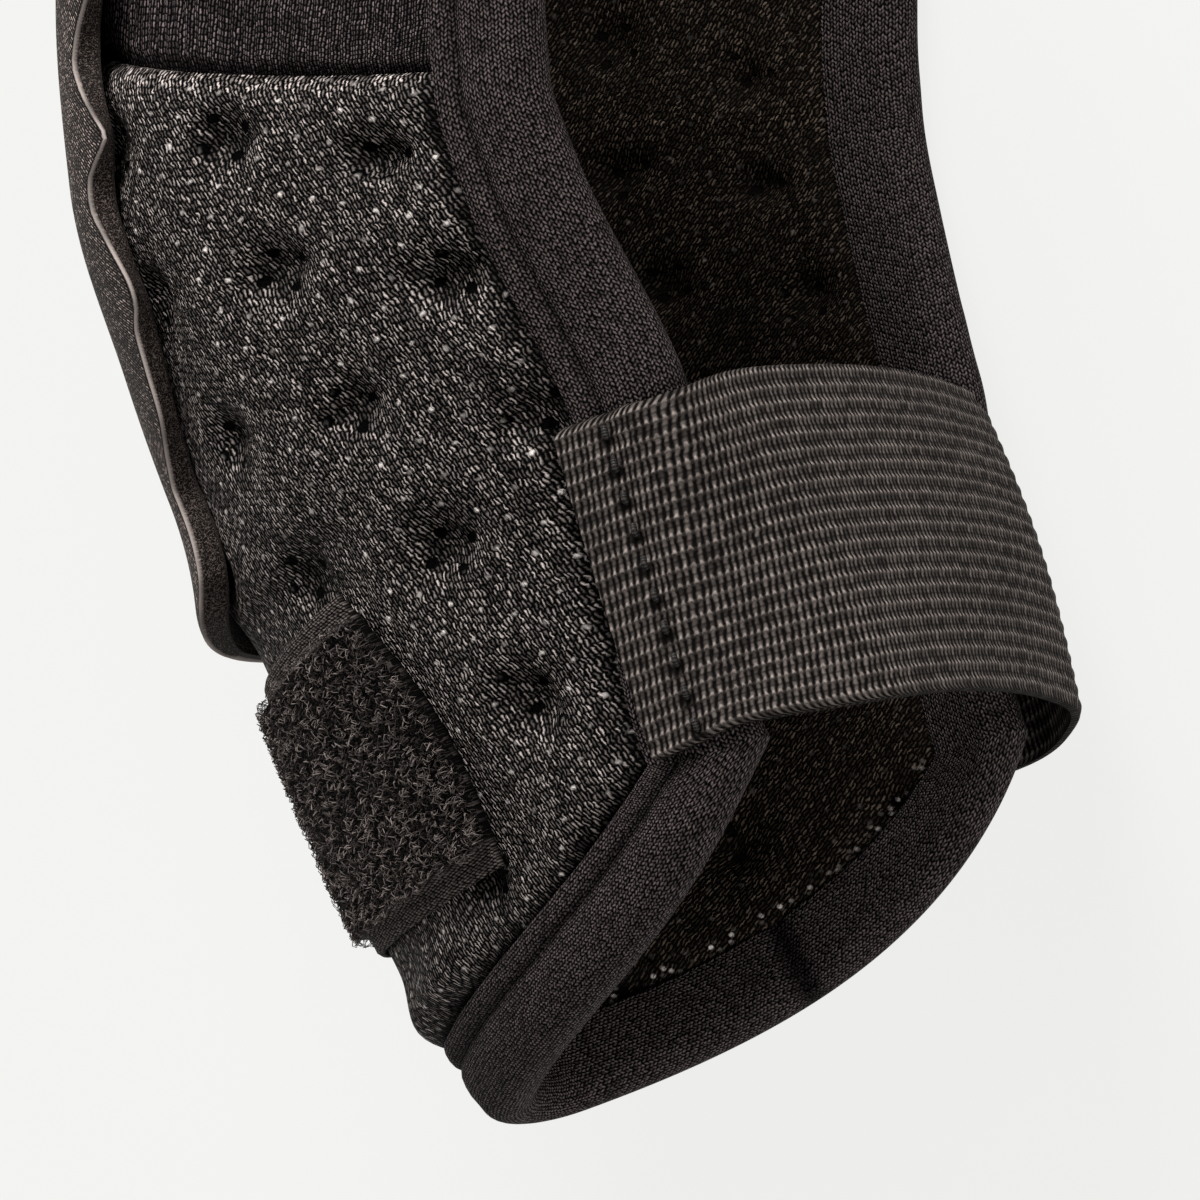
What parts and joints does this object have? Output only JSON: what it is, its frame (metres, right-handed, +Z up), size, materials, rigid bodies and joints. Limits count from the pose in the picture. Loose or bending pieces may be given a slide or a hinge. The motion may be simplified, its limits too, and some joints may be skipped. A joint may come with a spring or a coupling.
{
  "type": "elbow guard",
  "caption": "Soft padded elbow guard: a dimpled mesh wrap open along the inside of the elbow, with a curved back cap, bound edges and an elastic forearm strap.",
  "frame": {"origin": "on the floor under the middle of the guard's box, with the guard lying on its lower wing", "axes": "+X forward from the back of the elbow to the open slit, +Y up the arm towards the shoulder, +Z up from the lower wing to the upper wing"},
  "size_m": [0.139, 0.2346, 0.0964],
  "materials": {
    "spacer_mesh": "black padded spacer mesh with slanted bright yarns and pressed dimples",
    "rib_knit": "dark ribbed knit",
    "stretch_tape": "charcoal fine jersey edge tape",
    "cap_shell": "brown-grey diagonal weave over a stiff moulded cap",
    "elastic": "warm dark grey elastic ribbed along its length",
    "loop_pile": "black-brown curly loop pile"
  },
  "bodies": {
    "root": {"forearm_pad": "spacer_mesh", "upper_arm_pad": "spacer_mesh", "elbow_flex_band": "rib_knit", "edge_binding": "stretch_tape", "elbow_cap": "cap_shell", "forearm_strap": "elastic", "loop_patch": "loop_pile"}
  },
  "joints": []
}
